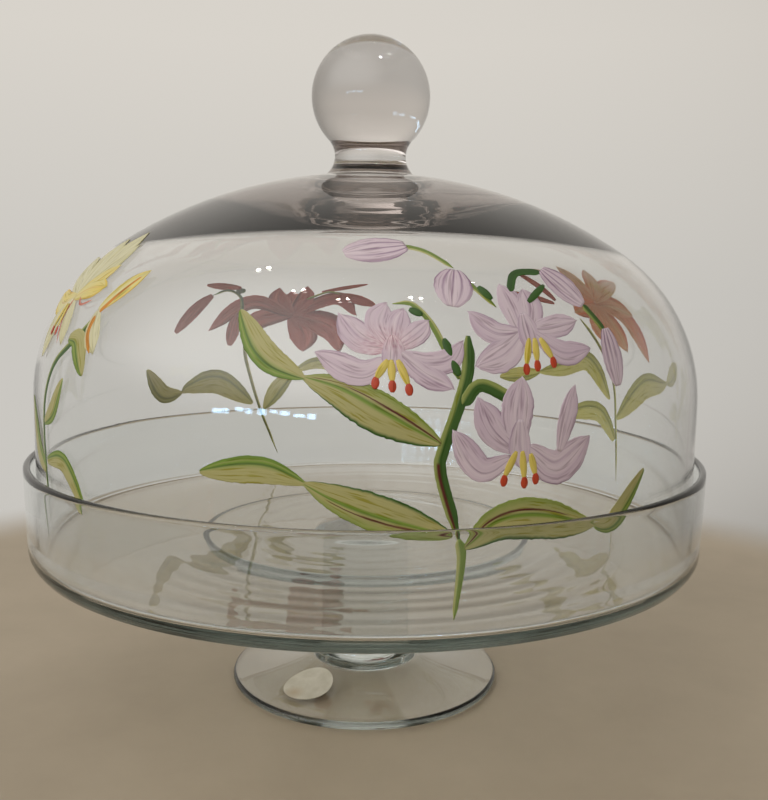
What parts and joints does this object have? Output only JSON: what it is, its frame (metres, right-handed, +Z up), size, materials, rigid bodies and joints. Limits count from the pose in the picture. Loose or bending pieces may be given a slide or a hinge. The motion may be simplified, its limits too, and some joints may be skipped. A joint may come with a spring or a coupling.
{
  "type": "cheese dome",
  "caption": "Footed round glass serving plate with an upright gallery rim, and a lift-off glass dome with a ball knob that stands inside the rim.",
  "frame": {"origin": "on the table, under the centre of the foot", "axes": "+Z up along the axis of the stem, the dome and its knob; +Y away from the side that carries the main flower spray; +X to its right"},
  "size_m": [0.3, 0.3, 0.2936],
  "materials": {
    "tray_glass": "clear pressed glass, faint grey-green at the edges",
    "pedestal_glass": "clear thick glass, grey-green in the edge",
    "label_paper": "blank off-white paper, slightly aged",
    "dome_glass": "clear blown glass with slight waves",
    "knob_glass": "clear solid glass"
  },
  "bodies": {
    "stand": {"tray": "tray_glass", "bearing_plate": "pedestal_glass", "stem": "pedestal_glass", "foot": "pedestal_glass", "label": "label_paper"},
    "dome": {"dome_shell": "dome_glass", "knob": "knob_glass"}
  },
  "joints": [
    {"name": "dome_lift", "type": "slide", "parent": "stand", "child": "dome", "axis": [0, 0, 1], "range_m": [0, 0.25]}
  ]
}
